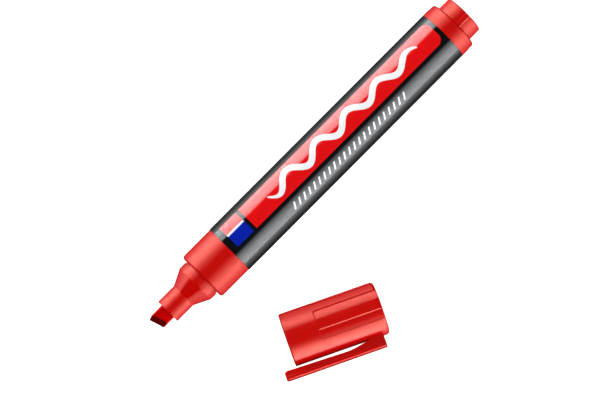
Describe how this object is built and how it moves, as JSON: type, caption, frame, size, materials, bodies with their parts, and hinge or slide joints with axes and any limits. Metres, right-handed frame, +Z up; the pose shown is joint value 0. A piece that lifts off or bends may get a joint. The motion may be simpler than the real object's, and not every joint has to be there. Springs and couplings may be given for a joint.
{
  "type": "felt tip marker",
  "caption": "Felt tip marker with a slanted chisel nib, aluminium barrel and moulded nose and end plug, its clip cap pulled off and lying beside it.",
  "frame": {"origin": "middle of the whole part's base, on the surface that the marker and its cap lie on", "axes": "+X along the marker from the nib towards the end plug, +Y away from the cap, +Z up"},
  "size_m": [0.1288, 0.0612, 0.0165],
  "materials": {
    "barrel_lacquer": "black lacquer, glossy, with a printed red panel",
    "red_plastic": "moulded, semi-gloss",
    "nib_felt": "bonded felt soaked with red ink",
    "reservoir_fibre": "polyester fibre bundle soaked with red ink",
    "reservoir_film": "thin film",
    "liner_plastic": "natural polyethylene, satin"
  },
  "bodies": {
    "marker": {"barrel_tube": "barrel_lacquer", "nose_section": "red_plastic", "ink_reservoir": "reservoir_fibre", "reservoir_wrap": "reservoir_film", "end_plug": "red_plastic"},
    "nib": {"nib": "nib_felt"},
    "cap": {"cap_shell": "red_plastic", "cap_liner": "liner_plastic"},
    "clip": {"cap_clip": "red_plastic"}
  },
  "joints": [
    {"name": "nib_pull", "type": "slide", "parent": "marker", "child": "nib", "axis": [-1, 0, 0], "range_m": [0, 0.03]},
    {"name": "cap_slide", "type": "slide", "parent": "marker", "child": "cap", "axis": [0.9003, -0.4352, 0], "range_m": [0, 0.0197]},
    {"name": "clip_flex", "type": "hinge", "parent": "cap", "child": "clip", "pos_m": [-0.02607, -0.02776, 0.01029], "axis": [0.0849, 0.1756, 0.9808], "range_deg": [0, 4], "stiffness_Nm_per_rad": 1.5}
  ]
}
